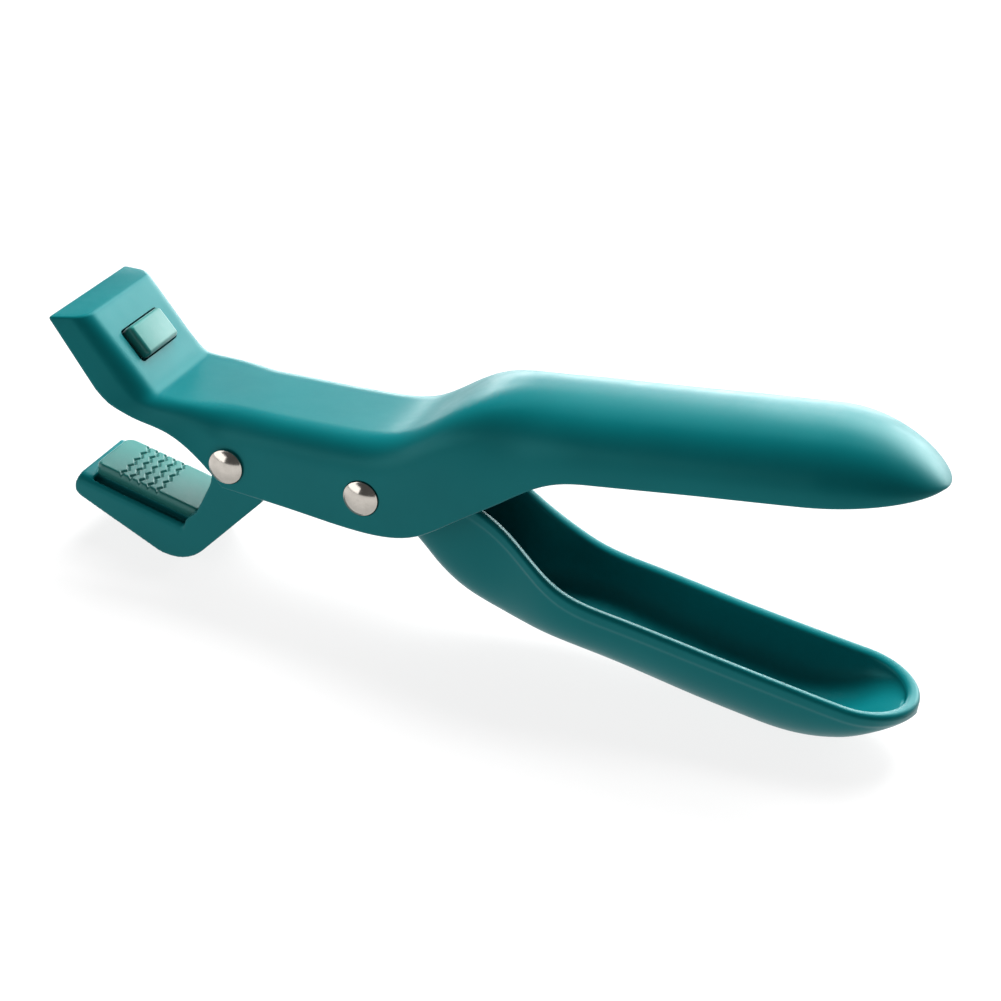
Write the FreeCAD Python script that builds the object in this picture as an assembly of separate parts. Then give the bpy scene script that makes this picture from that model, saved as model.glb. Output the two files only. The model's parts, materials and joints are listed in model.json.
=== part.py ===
import FreeCAD
import Part
import math
import os

# Hand-squeezed jar lifter, millimetres. +X runs from the jaws to the ends of the handles, Y is the
# width, +Z is up. The origin is under the middle of the tool, on the surface it stands on: it rests
# on the corner of its lower jaw and on the bottom of its lower handle.

V = FreeCAD.Vector
ACROSS = V(0, 1, 0)

# ---- driving dimensions --------------------------------------------------------------------------

TOOL_END = 105.0            # half of the overall length
SHELL_HALF_WIDTH = 18.0     # upper body, outside
SHELL_WALL = 2.5
LEVER_HALF_WIDTH = 11.5     # lower jaw, and the front of the lower handle, between the bosses
LEVER_WALL = 2.3

FRONT_PIVOT = (-58.0, 32.1)  # x, z: the lower jaw turns here
PIVOT_SPACING = 33.6
PIVOT_LINE_DEG = 3.4         # the rear pivot is this much higher along the line of centres
REAR_PIVOT = (
    FRONT_PIVOT[0] + PIVOT_SPACING * math.cos(math.radians(PIVOT_LINE_DEG)),
    FRONT_PIVOT[1] + PIVOT_SPACING * math.sin(math.radians(PIVOT_LINE_DEG)),
)

BARREL_RADIUS = 2.5          # both rivets
STUD_RADIUS = 1.4
RIVET_HEAD_RADIUS = 4.2
RIVET_HEAD_HEIGHT = 1.9
HEAD_RECESS_DEPTH = 0.4
HEAD_RECESS_GAP = 0.3        # all round the head
CAP_STUD_END = -4.0          # y of the end of the solid half's stud, inside the tube
TUBE_FLOOR = -6.0            # y where the tube's hollow ends, under its head
RUNNING_CLEARANCE = 0.05
BOSS_RADIUS = 5.6
BOSS_ROOT = 1.5              # how far a boss starts inside the shell's outside
BOSS_GAP = 0.15              # between a boss and the lever beside it
HANDLE_HUB_RADIUS = 8.0
JAW_HUB_RADIUS = 6.4
CHEEK_THICKNESS = 2.5        # each side of the lower jaw's channel
SEAT_THICKNESS = 3.0         # plate under each pad

# The jaw's tail and the handle's nose are gear sectors: 20 and 36 teeth on full circles.
JAW_TEETH = 20
HANDLE_TEETH = 36
GEAR_MODULE = 2 * PIVOT_SPACING / (JAW_TEETH + HANDLE_TEETH)
GEAR_HALF_WIDTH = 4.0
BACKLASH = 0.25
PRESSURE_DEG = 20.0

# Gripping face of the upper jaw and top of the lower jaw: where each flat seat starts, and its slope.
UPPER_GRIP_START = (-105.0, 57.2)
UPPER_GRIP_DEG = -49.5
LOWER_SEAT_START = (-99.4, 14.75)
LOWER_SEAT_DEG = -10.0
JAW_RIDGE = (-96.2, 58.7)    # back of the upper jaw: its free end, and where it meets the neck
JAW_CREASE = (-80.8, 43.8)
JAW_BACK_DEG = math.degrees(
    math.atan2(JAW_CREASE[1] - JAW_RIDGE[1], JAW_CREASE[0] - JAW_RIDGE[0])
)
JAW_FILLET = 4.0
CHIN_HALF_WIDTH = 9.5

PAD_LENGTH = 27.0
PAD_WIDTH = 16.0
LOWER_PAD_HEIGHT = 3.0
UPPER_PAD_HEIGHT = 1.7
STEM_LENGTH = 7.2
STEM_WIDTH = 15.2
NUB_LENGTH = 8.2
NUB_WIDTH = 16.0
NUB_HEIGHT = 1.9

COIL_INNER_RADIUS = 3.0
SPRING_WIRE = 0.9
COIL_RADIUS = COIL_INNER_RADIUS + SPRING_WIRE / 2
COIL_Y = (4.6, 8.6)
POCKET_RADIUS = 5.2          # room for the coil in the handle's hub
POCKET_GAP = 0.3             # at each end of the coil
POCKET_LENGTH = 14.0         # channel for the coil's straight ends
POCKET_TOP = 11.4            # above the rear pivot


# ---- curves and solids ---------------------------------------------------------------------------


def curve_through(knots):
    """Cubic spline through (x, value) knots, free at both ends, as a function of x."""
    xs = [knot[0] for knot in knots]
    vs = [knot[1] for knot in knots]
    count = len(xs)
    gaps = [xs[i + 1] - xs[i] for i in range(count - 1)]
    bend = [0.0] * count
    factor = [0.0] * count
    for i in range(1, count - 1):
        change = (vs[i + 1] - vs[i]) / gaps[i] - (vs[i] - vs[i - 1]) / gaps[i - 1]
        pivot = 2 * (gaps[i - 1] + gaps[i]) - gaps[i - 1] * factor[i - 1]
        factor[i] = gaps[i] / pivot
        bend[i] = (6 * change - gaps[i - 1] * bend[i - 1]) / pivot
    for i in range(count - 2, 0, -1):
        bend[i] -= factor[i] * bend[i + 1]

    def value(x):
        i = 0
        while i < count - 2 and x > xs[i + 1]:
            i += 1
        a = (xs[i + 1] - x) / gaps[i]
        b = 1 - a
        sag = (a**3 - a) * bend[i] + (b**3 - b) * bend[i + 1]
        return a * vs[i] + b * vs[i + 1] + sag * gaps[i] ** 2 / 6

    return value


def arch(x, base, peak, half_width, squareness):
    """Closed section across the tool at x: a superellipse arch from base to peak on a straight base."""
    points = []
    steps = 16
    for k in range(steps + 1):
        angle = math.pi * k / steps
        c, s = math.cos(angle), math.sin(angle)
        reach = (abs(c) ** squareness + abs(s) ** squareness) ** (-1 / squareness)
        points.append(V(x, -half_width * reach * c, base + (peak - base) * reach * s))
    points[0].z = points[-1].z = base
    curve = Part.BSplineCurve()
    curve.interpolate(points)
    return Part.Wire([curve.toShape(), Part.makeLine(points[-1], points[0])])


def prism(outline, half_width):
    """Solid with the given x, z outline, as wide as twice half_width and centred on the tool."""
    points = [V(x, -half_width, z) for x, z in outline]
    face = Part.Face(Part.makePolygon(points + points[:1]))
    return face.extrude(V(0, 2 * half_width, 0))


def disc(centre, radius, y_low, y_high):
    """Cylinder along Y."""
    return Part.makeCylinder(radius, y_high - y_low, V(centre[0], y_low, centre[1]), ACROSS)


def along(start, degrees, distance, rise=0.0):
    """Point at a distance along a slanted line and a rise square to it."""
    a = math.radians(degrees)
    return (
        start[0] + distance * math.cos(a) - rise * math.sin(a),
        start[1] + distance * math.sin(a) + rise * math.cos(a),
    )


def slanted_block(centre, degrees, length, width, low, high, corner=0.0):
    """Block on a slanted line: length along it, low and high measured square to it."""
    block = Part.makeBox(length, width, high - low, V(-length / 2, -width / 2, low))
    if corner:
        block = block.makeFillet(corner, [e for e in block.Edges if is_upright(e)])
    block.rotate(V(0, 0, 0), V(0, -1, 0), degrees)
    block.translate(V(centre[0], 0, centre[1]))
    return block


def is_upright(edge):
    first, last = edge.Vertexes[0].Point, edge.Vertexes[-1].Point
    return math.hypot(first.x - last.x, first.y - last.y) < 0.001


def arc_points(centre, radius, start_deg, end_deg, count):
    """Points on an arc, in x and z."""
    turn = [start_deg + (end_deg - start_deg) * k / (count - 1) for k in range(count)]
    return [along(centre, degrees, radius) for degrees in turn]


# ---- gear sectors --------------------------------------------------------------------------------


def gear_sector(centre, teeth, tooth_degrees, fan_degrees):
    """Plate with involute teeth at the given angles, on a fan between two angles."""
    pitch_radius = GEAR_MODULE * teeth / 2
    root_radius = pitch_radius - 1.25 * GEAR_MODULE
    plate = prism([centre] + arc_points(centre, root_radius, *fan_degrees, 13), GEAR_HALF_WIDTH)
    for degrees in tooth_degrees:
        plate = plate.fuse(tooth(centre, teeth, pitch_radius, root_radius, degrees))
    return plate


def tooth(centre, teeth, pitch_radius, root_radius, degrees):
    pressure = math.radians(PRESSURE_DEG)
    base_radius = pitch_radius * math.cos(pressure)
    tip_radius = pitch_radius + GEAR_MODULE

    def half_angle(radius):
        local = math.acos(min(1.0, base_radius / radius))
        thickness = math.pi / (2 * teeth) - BACKLASH / (2 * pitch_radius)
        spread = math.tan(pressure) - pressure - math.tan(local) + local
        return math.degrees(thickness + spread)

    first = max(base_radius, root_radius)
    radii = [first + (tip_radius - first) * k / 5 for k in range(6)]
    flank = [(root_radius - 0.3, half_angle(first))] + [(r, half_angle(r)) for r in radii]
    outline = [along(centre, degrees - spread, radius) for radius, spread in flank]
    outline += [along(centre, degrees + spread, radius) for radius, spread in reversed(flank)]
    return prism(outline, GEAR_HALF_WIDTH)


# ---- upper body: jaw, neck and handle in one shell -----------------------------------------------

SHELL_START = -84.0
NOSE_START = 72.5
NOSE_TIP = 100.0
CAVITY_START = -75.0

shell_edge = curve_through([
    (-84, 26.5), (-58, 26.3), (-40, 25.9), (-25, 25.4), (-17.5, 26.0), (-10, 28.6), (-2, 34.7),
    (8, 42.7), (15, 48.3), (20.5, 51.2), (28, 53.1), (50, 57.4), (77.5, 62.6), (100, 67.5),
])
shell_top = curve_through([
    (-84, 42.3), (-73, 43.0), (-56, 44.4), (-40, 45.6), (-30, 46.6), (-23, 47.8), (-17, 50.4),
    (-11, 55.1), (-5, 59.8), (2, 63.3), (12, 65.7), (28, 68.5), (45, 71.5), (60, 74.2),
    (72.5, 76.3), (100, 81.1),
])
shell_squareness = curve_through([
    (-84, 6.0), (-40, 6.0), (-20, 5.0), (0, 3.2), (15, 2.6), (40, 2.4), (72, 2.3), (100, 2.2),
])
SHELL_SECTIONS = (
    [-84, -74, -64, -54, -44, -35, -28, -22, -17, -12, -7, -2, 3, 8, 13, 18, 23, 29, 37, 46, 56]
    + [66, 72.5, 78, 83, 87, 90.5, 93.5, 96, 98, 99.3]
)


def nose(x, start, tip):
    """How far a rounded end has closed in at x: 1 before it starts, 0 at its tip."""
    reach = max(0.0, x - start) / (tip - start)
    return max(0.0, 1 - reach**2)


def shell_section(x, inset):
    """Section of the upper body: inset 0 is the outside, a wall's thickness is the inside."""
    closing = nose(x + inset * (x > NOSE_START), NOSE_START, NOSE_TIP)
    edge = shell_edge(x)
    height = (shell_top(x) - edge) * closing**0.88
    half_width = SHELL_HALF_WIDTH * closing**0.5
    base = edge if not inset else edge - 6
    return arch(x, base, edge + height - inset, half_width - inset, shell_squareness(x))


def throat_outline():
    """Everything below the arched lower edge between the upper jaw and the front pivot."""
    jaw_corner = along(UPPER_GRIP_START, UPPER_GRIP_DEG, 19.7)
    arch_edge = curve_through([
        (-89, 39.7), (-85.9, 38.5), (-82, 37.5), (-75.4, 36.6), (-71.8, 35.6), (-68, 33.7),
        (-64.3, 31.2), (-60.4, 28.0),
    ])
    steps = [-89 + 28.6 * k / 14 for k in range(15)]
    return (
        [along(UPPER_GRIP_START, UPPER_GRIP_DEG, -20), jaw_corner]
        + [(x, arch_edge(x)) for x in steps]
        + [(-57.0, 24.0), (-57.0, 10.0), (-130.0, 10.0)]
    )


def upper_jaw_block():
    """The bent-up jaw: a thick slab whose two long back edges are rounded."""
    block = prism(
        [UPPER_GRIP_START, JAW_RIDGE, JAW_CREASE, (-79.0, 36.0), (-89.0, 38.2)],
        SHELL_HALF_WIDTH,
    )
    middle_x = (JAW_RIDGE[0] + JAW_CREASE[0]) / 2
    edges = [
        e for e in block.Edges
        if abs(e.CenterOfMass.x - middle_x) < 0.2 and abs(e.CenterOfMass.y) > SHELL_HALF_WIDTH - 0.2
    ]
    return block.makeFillet(JAW_FILLET, edges)


UPPER_PAD_CENTRE = along(UPPER_GRIP_START, UPPER_GRIP_DEG, 16.0)
LOWER_PAD_CENTRE = along(LOWER_SEAT_START, LOWER_SEAT_DEG, 2.5 + PAD_LENGTH / 2)


def upper_body():
    body = Part.makeLoft([shell_section(x, 0.0) for x in SHELL_SECTIONS], True, False)
    body = body.fuse(upper_jaw_block()).cut(prism(throat_outline(), 30.0))
    inside = [CAVITY_START] + [x for x in SHELL_SECTIONS if CAVITY_START < x < 96.5]
    body = body.cut(Part.makeLoft([shell_section(x, SHELL_WALL) for x in inside], True, False))
    # The seat of the pad runs on below the jaw as a narrow chin.
    chin = [
        along(UPPER_GRIP_START, UPPER_GRIP_DEG, 17.0),
        along(UPPER_GRIP_START, UPPER_GRIP_DEG, 30.0),
        along(UPPER_GRIP_START, UPPER_GRIP_DEG, 30.0, 3.5),
        (-76.0, 39.0),
        (-84.0, 43.0),
    ]
    body = body.fuse(prism(chin, CHIN_HALF_WIDTH))
    # Bosses keep the levers in the middle of the shell.
    for pivot in (FRONT_PIVOT, REAR_PIVOT):
        for side in (-1, 1):
            ends = sorted((
                side * (LEVER_HALF_WIDTH + BOSS_GAP), side * (SHELL_HALF_WIDTH - BOSS_ROOT)
            ))
            body = body.fuse(disc(pivot, BOSS_RADIUS, *ends))
    for pivot in (FRONT_PIVOT, REAR_PIVOT):
        body = body.cut(disc(pivot, BARREL_RADIUS, -25, 25))
        for side in (-1, 1):
            ends = sorted((side * (SHELL_HALF_WIDTH - HEAD_RECESS_DEPTH), side * 25))
            body = body.cut(disc(pivot, RIVET_HEAD_RADIUS + HEAD_RECESS_GAP, *ends))
    slot = slanted_block(UPPER_PAD_CENTRE, UPPER_GRIP_DEG, STEM_LENGTH, STEM_WIDTH, -5, 15)
    return body.cut(slot).removeSplitter()


# ---- lower handle: an open trough with a geared nose ---------------------------------------------

TROUGH_END_START = 86.0

trough_floor = curve_through([
    (-22, 26.6), (-17, 24.6), (-12.5, 21.5), (-8, 17.2), (-3, 13.4), (4, 10.2), (12, 8.2),
    (25, 6.6), (40, 4.6), (55, 2.3), (68, 0.8), (78, 0.2), (86, 1.4), (92, 3.7), (98, 7.0),
    (105, 10.6),
])
trough_rim = curve_through([
    (-22, 41.4), (-12, 39.2), (-2, 36.6), (5, 33.6), (11, 29.8), (17, 25.9), (23, 22.8),
    (29, 21.1), (37, 20.1), (57, 17.5), (77, 14.9), (92, 13.2), (105, 12.6),
])
trough_half_width = curve_through([
    (-22, 11.4), (2, 11.4), (9, 11.6), (14, 12.6), (19, 13.8), (25, 14.5), (32, 14.6),
    (60, 14.3), (88, 14.1), (105, 14.0),
])
trough_squareness = curve_through([(-22, 5.0), (0, 4.5), (25, 3.2), (60, 2.8), (105, 2.5)])
TROUGH_SECTIONS = (
    [-22, -17, -12.5, -8, -3, 2, 7, 12, 17, 22, 27, 33, 41, 50, 60, 70, 78, 84, 89, 93]
    + [96.5, 99.5, 102, 103.8, 104.8]
)


def trough_section(x, inset):
    """Section of the lower handle, hanging from its rim."""
    closing = nose(x + inset * (x > TROUGH_END_START), TROUGH_END_START, TOOL_END)
    half_width = trough_half_width(x) * closing**0.5
    rim = trough_rim(x)
    floor = min(trough_floor(x) + inset, rim - 1.0)
    base = rim if not inset else rim + 8
    return arch(x, base, floor, half_width - inset, trough_squareness(x))


def lower_handle():
    handle = Part.makeLoft([trough_section(x, 0.0) for x in TROUGH_SECTIONS], True, False)
    handle = handle.fuse(
        disc(REAR_PIVOT, HANDLE_HUB_RADIUS, -LEVER_HALF_WIDTH, LEVER_HALF_WIDTH)
    )
    inside = [-15] + [x for x in TROUGH_SECTIONS if -15 < x < 101.5]
    handle = handle.cut(Part.makeLoft([trough_section(x, LEVER_WALL) for x in inside], True, False))
    # The nose reaches forward from the hub and carries the teeth that drive the jaw.
    tooth_pitch = 360 / HANDLE_TEETH
    toward_jaw = 180 + PIVOT_LINE_DEG
    teeth = [toward_jaw - k * tooth_pitch for k in range(3)]
    fan = (toward_jaw + 6.5, teeth[-1] - 6.5)
    handle = handle.fuse(gear_sector(REAR_PIVOT, HANDLE_TEETH, teeth, fan))
    # Room for the spring's coil beside the nose, and a channel for its ends: one lies on its floor.
    y_low, y_high = COIL_Y[0] - POCKET_GAP, COIL_Y[1] + POCKET_GAP
    handle = handle.cut(disc(REAR_PIVOT, POCKET_RADIUS, y_low, y_high))
    depth = COIL_RADIUS + SPRING_WIRE / 2 + RUNNING_CLEARANCE
    corner = V(REAR_PIVOT[0], y_low, REAR_PIVOT[1] - depth)
    handle = handle.cut(
        Part.makeBox(POCKET_LENGTH, y_high - y_low, depth + POCKET_TOP, corner)
    )
    bore = disc(REAR_PIVOT, BARREL_RADIUS + RUNNING_CLEARANCE, -20, 20)
    return handle.cut(bore).removeSplitter()


# ---- lower jaw: an L-shaped channel with a geared tail -------------------------------------------

JAW_CORNER_RADIUS = 10.7
JAW_CORNER_CENTRE = (-73.9, JAW_CORNER_RADIUS)


def jaw_outline():
    base_end = along(LOWER_SEAT_START, LOWER_SEAT_DEG, 28.4)
    return (
        [LOWER_SEAT_START, (-100.2, 11.8)]
        + arc_points((-97.6, 11.4), 2.6, 190, 246, 5)
        + arc_points(JAW_CORNER_CENTRE, JAW_CORNER_RADIUS, 246, 319, 9)
        + [(-51.4, 21.4), (-50.8, 25.5), (-52.5, 31.0), (-53.5, 36.8), (-57.5, 38.3)]
        + [(-62.0, 37.0), (-64.4, 33.0), (-64.2, 27.0), (-64.7, 22.4), (-67.8, 13.9), base_end]
    )


def jaw_hollow():
    """Space between the jaw's two cheeks, open downwards and outwards."""
    return [
        along(LOWER_SEAT_START, LOWER_SEAT_DEG, 2.5, -SEAT_THICKNESS),
        along(LOWER_SEAT_START, LOWER_SEAT_DEG, 29.5, -SEAT_THICKNESS),
        (-64.6, 14.5), (-61.6, 22.6), (-60.5, 24.2), (-55.0, 24.2), (-40.0, 18.0), (-60.0, -12.0),
        (-110.0, -12.0), (-98.0, 4.0),
    ]


def lower_jaw():
    jaw = prism(jaw_outline(), LEVER_HALF_WIDTH)
    jaw = jaw.fuse(disc(FRONT_PIVOT, JAW_HUB_RADIUS, -LEVER_HALF_WIDTH, LEVER_HALF_WIDTH))
    jaw = jaw.cut(prism(jaw_hollow(), LEVER_HALF_WIDTH - CHEEK_THICKNESS))
    tooth_pitch = 360 / JAW_TEETH
    teeth = [PIVOT_LINE_DEG + (k - 0.5) * tooth_pitch for k in range(4)]
    fan = (teeth[0] - 12.0, teeth[-1] + 9.0)
    jaw = jaw.fuse(gear_sector(FRONT_PIVOT, JAW_TEETH, teeth, fan))
    slot = slanted_block(LOWER_PAD_CENTRE, LOWER_SEAT_DEG, STEM_LENGTH, STEM_WIDTH, -6, 3)
    bore = disc(FRONT_PIVOT, BARREL_RADIUS + RUNNING_CLEARANCE, -20, 20)
    return jaw.cut(slot).cut(bore).removeSplitter()


# ---- silicone pads -------------------------------------------------------------------------------


def lower_jaw_pad():
    """Pad on top of the jaw, held by a stem through its seat and a wider nub below."""
    pad = slanted_block(
        LOWER_PAD_CENTRE, LOWER_SEAT_DEG, PAD_LENGTH, PAD_WIDTH, 0, LOWER_PAD_HEIGHT, 2.5
    )
    stem = slanted_block(LOWER_PAD_CENTRE, LOWER_SEAT_DEG, STEM_LENGTH, STEM_WIDTH, -3.5, 0.5)
    nub = slanted_block(LOWER_PAD_CENTRE, LOWER_SEAT_DEG, NUB_LENGTH, NUB_WIDTH, -4.9, -3.0, 1.5)
    return pad.fuse(stem).fuse(nub).removeSplitter()


def upper_jaw_pad():
    """The same pad on the upper jaw: its nub shows on the jaw's sloping back."""
    pad = slanted_block(
        UPPER_PAD_CENTRE, UPPER_GRIP_DEG, PAD_LENGTH, PAD_WIDTH, -UPPER_PAD_HEIGHT, 0, 2.5
    )
    stem = slanted_block(UPPER_PAD_CENTRE, UPPER_GRIP_DEG, STEM_LENGTH, STEM_WIDTH, -0.5, 9.0)
    nub_centre = along(JAW_RIDGE, JAW_BACK_DEG, 11.6)
    nub = slanted_block(nub_centre, JAW_BACK_DEG, NUB_LENGTH, NUB_WIDTH, 0, NUB_HEIGHT, 1.5)
    return pad.fuse(stem).fuse(nub).removeSplitter()


# ---- rivets and spring ---------------------------------------------------------------------------


def dome(pivot, side):
    """Low domed rivet head, seated in its shallow recess."""
    seat = SHELL_HALF_WIDTH - HEAD_RECESS_DEPTH
    radius = (RIVET_HEAD_RADIUS**2 + RIVET_HEAD_HEIGHT**2) / (2 * RIVET_HEAD_HEIGHT)
    ball = Part.makeSphere(radius, V(pivot[0], side * (seat + RIVET_HEAD_HEIGHT - radius), pivot[1]))
    ends = sorted((side * seat, side * (seat + RIVET_HEAD_HEIGHT + 1)))
    return ball.common(disc(pivot, RIVET_HEAD_RADIUS, *ends))


def rivet(pivot):
    """Tubular half of a two-part rivet, with the head on the near side."""
    seat = SHELL_HALF_WIDTH - HEAD_RECESS_DEPTH
    barrel = disc(pivot, BARREL_RADIUS, -seat, seat)
    hollow = disc(pivot, STUD_RADIUS, TUBE_FLOOR, seat + RIVET_HEAD_HEIGHT)
    return dome(pivot, -1).fuse(barrel).cut(hollow).removeSplitter()


def rivet_cap(pivot):
    """Solid half, driven into the tube from the far side."""
    seat = SHELL_HALF_WIDTH - HEAD_RECESS_DEPTH
    return dome(pivot, 1).fuse(disc(pivot, STUD_RADIUS, CAP_STUD_END, seat)).removeSplitter()


def torsion_spring():
    """Coil round the rear rivet, with one end under the shell's roof and one along the handle."""
    coil = disc(REAR_PIVOT, COIL_RADIUS + SPRING_WIRE / 2, *COIL_Y)
    coil = coil.cut(disc(REAR_PIVOT, COIL_INNER_RADIUS, *COIL_Y))
    ends = (
        (COIL_Y[1] - 0.7 * SPRING_WIRE, COIL_RADIUS, (-9.5, 51.0)),
        (COIL_Y[0] + 0.7 * SPRING_WIRE, -COIL_RADIUS, (-11.5, REAR_PIVOT[1] - COIL_RADIUS)),
    )
    for y, lift, tip in ends:
        start = V(REAR_PIVOT[0], y, REAR_PIVOT[1] + lift)
        run = V(tip[0], y, tip[1]) - start
        coil = coil.fuse(Part.makeCylinder(SPRING_WIRE / 2, run.Length, start, run))
    return coil.removeSplitter()


# ---- write the parts -----------------------------------------------------------------------------


def main():
    parts = {
        "upper_body": upper_body(),
        "lower_handle": lower_handle(),
        "lower_jaw": lower_jaw(),
        "upper_jaw_pad": upper_jaw_pad(),
        "lower_jaw_pad": lower_jaw_pad(),
        "front_rivet": rivet(FRONT_PIVOT),
        "front_rivet_cap": rivet_cap(FRONT_PIVOT),
        "rear_rivet": rivet(REAR_PIVOT),
        "rear_rivet_cap": rivet_cap(REAR_PIVOT),
        "torsion_spring": torsion_spring(),
    }
    os.makedirs("parts", exist_ok=True)
    for name, shape in parts.items():
        shape.exportStep(os.path.join("parts", name + ".step"))
        box = shape.BoundBox
        print(
            name, "valid", shape.isValid(), "solids", len(shape.Solids), "volume", round(shape.Volume),
            "x %.1f %.1f y %.1f %.1f z %.1f %.1f"
            % (box.XMin, box.XMax, box.YMin, box.YMax, box.ZMin, box.ZMax),
        )


main()
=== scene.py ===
import bpy
import bmesh
import json
import math
from mathutils import Matrix, Vector


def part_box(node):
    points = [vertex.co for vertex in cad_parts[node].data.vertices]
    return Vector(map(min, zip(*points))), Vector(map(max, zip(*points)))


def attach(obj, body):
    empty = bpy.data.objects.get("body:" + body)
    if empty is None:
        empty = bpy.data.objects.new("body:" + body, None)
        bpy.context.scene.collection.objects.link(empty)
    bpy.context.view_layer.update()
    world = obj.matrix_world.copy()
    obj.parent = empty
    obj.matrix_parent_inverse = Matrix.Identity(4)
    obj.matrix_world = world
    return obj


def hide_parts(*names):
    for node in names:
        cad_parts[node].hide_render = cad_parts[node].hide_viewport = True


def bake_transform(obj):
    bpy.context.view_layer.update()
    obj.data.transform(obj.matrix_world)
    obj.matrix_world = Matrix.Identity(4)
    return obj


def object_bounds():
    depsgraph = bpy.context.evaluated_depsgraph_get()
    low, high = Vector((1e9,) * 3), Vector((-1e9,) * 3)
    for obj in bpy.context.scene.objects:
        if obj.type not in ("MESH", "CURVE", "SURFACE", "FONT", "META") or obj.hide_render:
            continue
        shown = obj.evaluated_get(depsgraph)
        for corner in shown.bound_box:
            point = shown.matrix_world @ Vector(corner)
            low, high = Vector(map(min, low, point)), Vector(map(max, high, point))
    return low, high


# A hand-squeezed jar lifter. Shapes are worked out in millimetres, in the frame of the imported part:
# +X runs from the jaws to the ends of the handles, Y is the width, +Z is up.

MM = 0.001

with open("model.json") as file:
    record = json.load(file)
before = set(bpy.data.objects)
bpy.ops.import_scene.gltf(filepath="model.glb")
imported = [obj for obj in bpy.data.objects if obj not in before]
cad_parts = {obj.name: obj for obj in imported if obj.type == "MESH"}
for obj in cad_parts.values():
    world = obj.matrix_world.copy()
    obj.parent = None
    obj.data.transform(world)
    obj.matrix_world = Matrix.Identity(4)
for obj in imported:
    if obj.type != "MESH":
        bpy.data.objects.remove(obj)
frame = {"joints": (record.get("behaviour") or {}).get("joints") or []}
cad_low, cad_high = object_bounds()

# ---- sizes ---------------------------------------------------------------------------------------

pivots = {joint["name"]: joint["pos_m"] for joint in frame["joints"]}
FRONT_PIVOT = (pivots["jaw_pivot"][0] / MM, pivots["jaw_pivot"][2] / MM)
REAR_PIVOT = (pivots["handle_pivot"][0] / MM, pivots["handle_pivot"][2] / MM)


def size_of(node, axis):
    low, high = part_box(node)
    return (high[axis] - low[axis]) / MM


HEAD_RADIUS = size_of("front_rivet", 0) / 2
HEAD_TOP = -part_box("front_rivet")[0].y / MM
SEAT_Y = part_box("front_rivet")[1].y / MM
LEVER_HALF_WIDTH = size_of("lower_jaw", 1) / 2
PAD_WIDTH = size_of("lower_jaw_pad", 1)
COIL_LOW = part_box("torsion_spring")[0].y / MM
COIL_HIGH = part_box("torsion_spring")[1].y / MM
TOOL_END = cad_high.x / MM

SHELL_HALF_WIDTH = 18.0
SHELL_WALL = 2.5
LEVER_WALL = 3.0
LIP = 0.6                      # rounding of the upper body's rims
TROUGH_LIP = 1.2               # rounding of the trough's rim
RIM_WIDTH = 3.0                # the rims widen to this at the handles' tips
LEAST_HOLLOW = 2.2             # a shell is hollow by at least this many of its lip's radii
BEAD = 0.3                     # the trough's rim stands proud by this
BEAD_HEIGHT = 3.2              # and is this deep
BARREL_RADIUS = 2.5
BOSS_RADIUS = 5.6
GRIP_START = (-105.0, 57.2)    # free end of the upper jaw's gripping face
GRIP_DEG = -49.5
RIDGE = (-96.2, 58.7)          # free end of the upper jaw's back
CREASE = (-80.8, 43.8)         # where its back meets the neck
BACK_DEG = math.degrees(math.atan2(CREASE[1] - RIDGE[1], CREASE[0] - RIDGE[0]))
SEAT_START = (-99.4, 14.75)    # free end of the lower jaw's seat
SEAT_DEG = -10.0
UPPER_PAD_LENGTH = 27.0
LOWER_PAD_LENGTH = 27.8
LOWER_PAD_HEIGHT = 3.0
UPPER_PAD_HEIGHT = 1.7
CHIN_HALF_WIDTH = 9.5
CHEEK_THICKNESS = 2.5
NOSE_START = 72.5              # the upper handle's rounded end starts here
NOSE_TIP = 100.0
TROUGH_END_START = 90.0
NOSE_END = (NOSE_START, NOSE_TIP - RIM_WIDTH, NOSE_TIP)
TROUGH_END = (TROUGH_END_START, TOOL_END - RIM_WIDTH, TOOL_END)
GEAR_MODULE = 1.2
JAW_TEETH = 20
HANDLE_TEETH = 36
GEAR_HALF_WIDTH = 4.0
PRESSURE_DEG = 20
BACKLASH = 0.25
PIVOT_LINE_DEG = 3.4           # slope of the line from the front pivot to the rear one
SPRING_WIRE = 0.9
COIL_RADIUS = 3.0 + SPRING_WIRE / 2
COIL_CLEARANCE = 0.3
THROUGH = 20.0                 # a cutter reaching this far to each side goes right through


# ---- curves --------------------------------------------------------------------------------------


def curve_through(knots):
    """Cubic spline through (x, value) knots, free at both ends, as a function of x."""
    xs = [knot[0] for knot in knots]
    vs = [knot[1] for knot in knots]
    count = len(xs)
    gaps = [xs[i + 1] - xs[i] for i in range(count - 1)]
    bend = [0.0] * count
    factor = [0.0] * count
    for i in range(1, count - 1):
        change = (vs[i + 1] - vs[i]) / gaps[i] - (vs[i] - vs[i - 1]) / gaps[i - 1]
        pivot = 2 * (gaps[i - 1] + gaps[i]) - gaps[i - 1] * factor[i - 1]
        factor[i] = gaps[i] / pivot
        bend[i] = (6 * change - gaps[i - 1] * bend[i - 1]) / pivot
    for i in range(count - 2, 0, -1):
        bend[i] -= factor[i] * bend[i + 1]

    def value(x):
        i = 0
        while i < count - 2 and x > xs[i + 1]:
            i += 1
        a = (xs[i + 1] - x) / gaps[i]
        b = 1 - a
        sag = (a**3 - a) * bend[i] + (b**3 - b) * bend[i + 1]
        return a * vs[i] + b * vs[i + 1] + sag * gaps[i] ** 2 / 6

    return value


def straight_through(knots):
    """Straight runs through (x, value) knots, level before the first and after the last."""

    def value(x):
        if x <= knots[0][0]:
            return knots[0][1]
        for (x0, v0), (x1, v1) in zip(knots, knots[1:]):
            if x <= x1:
                return v0 + (v1 - v0) * (x - x0) / (x1 - x0)
        return knots[-1][1]

    return value


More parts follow.
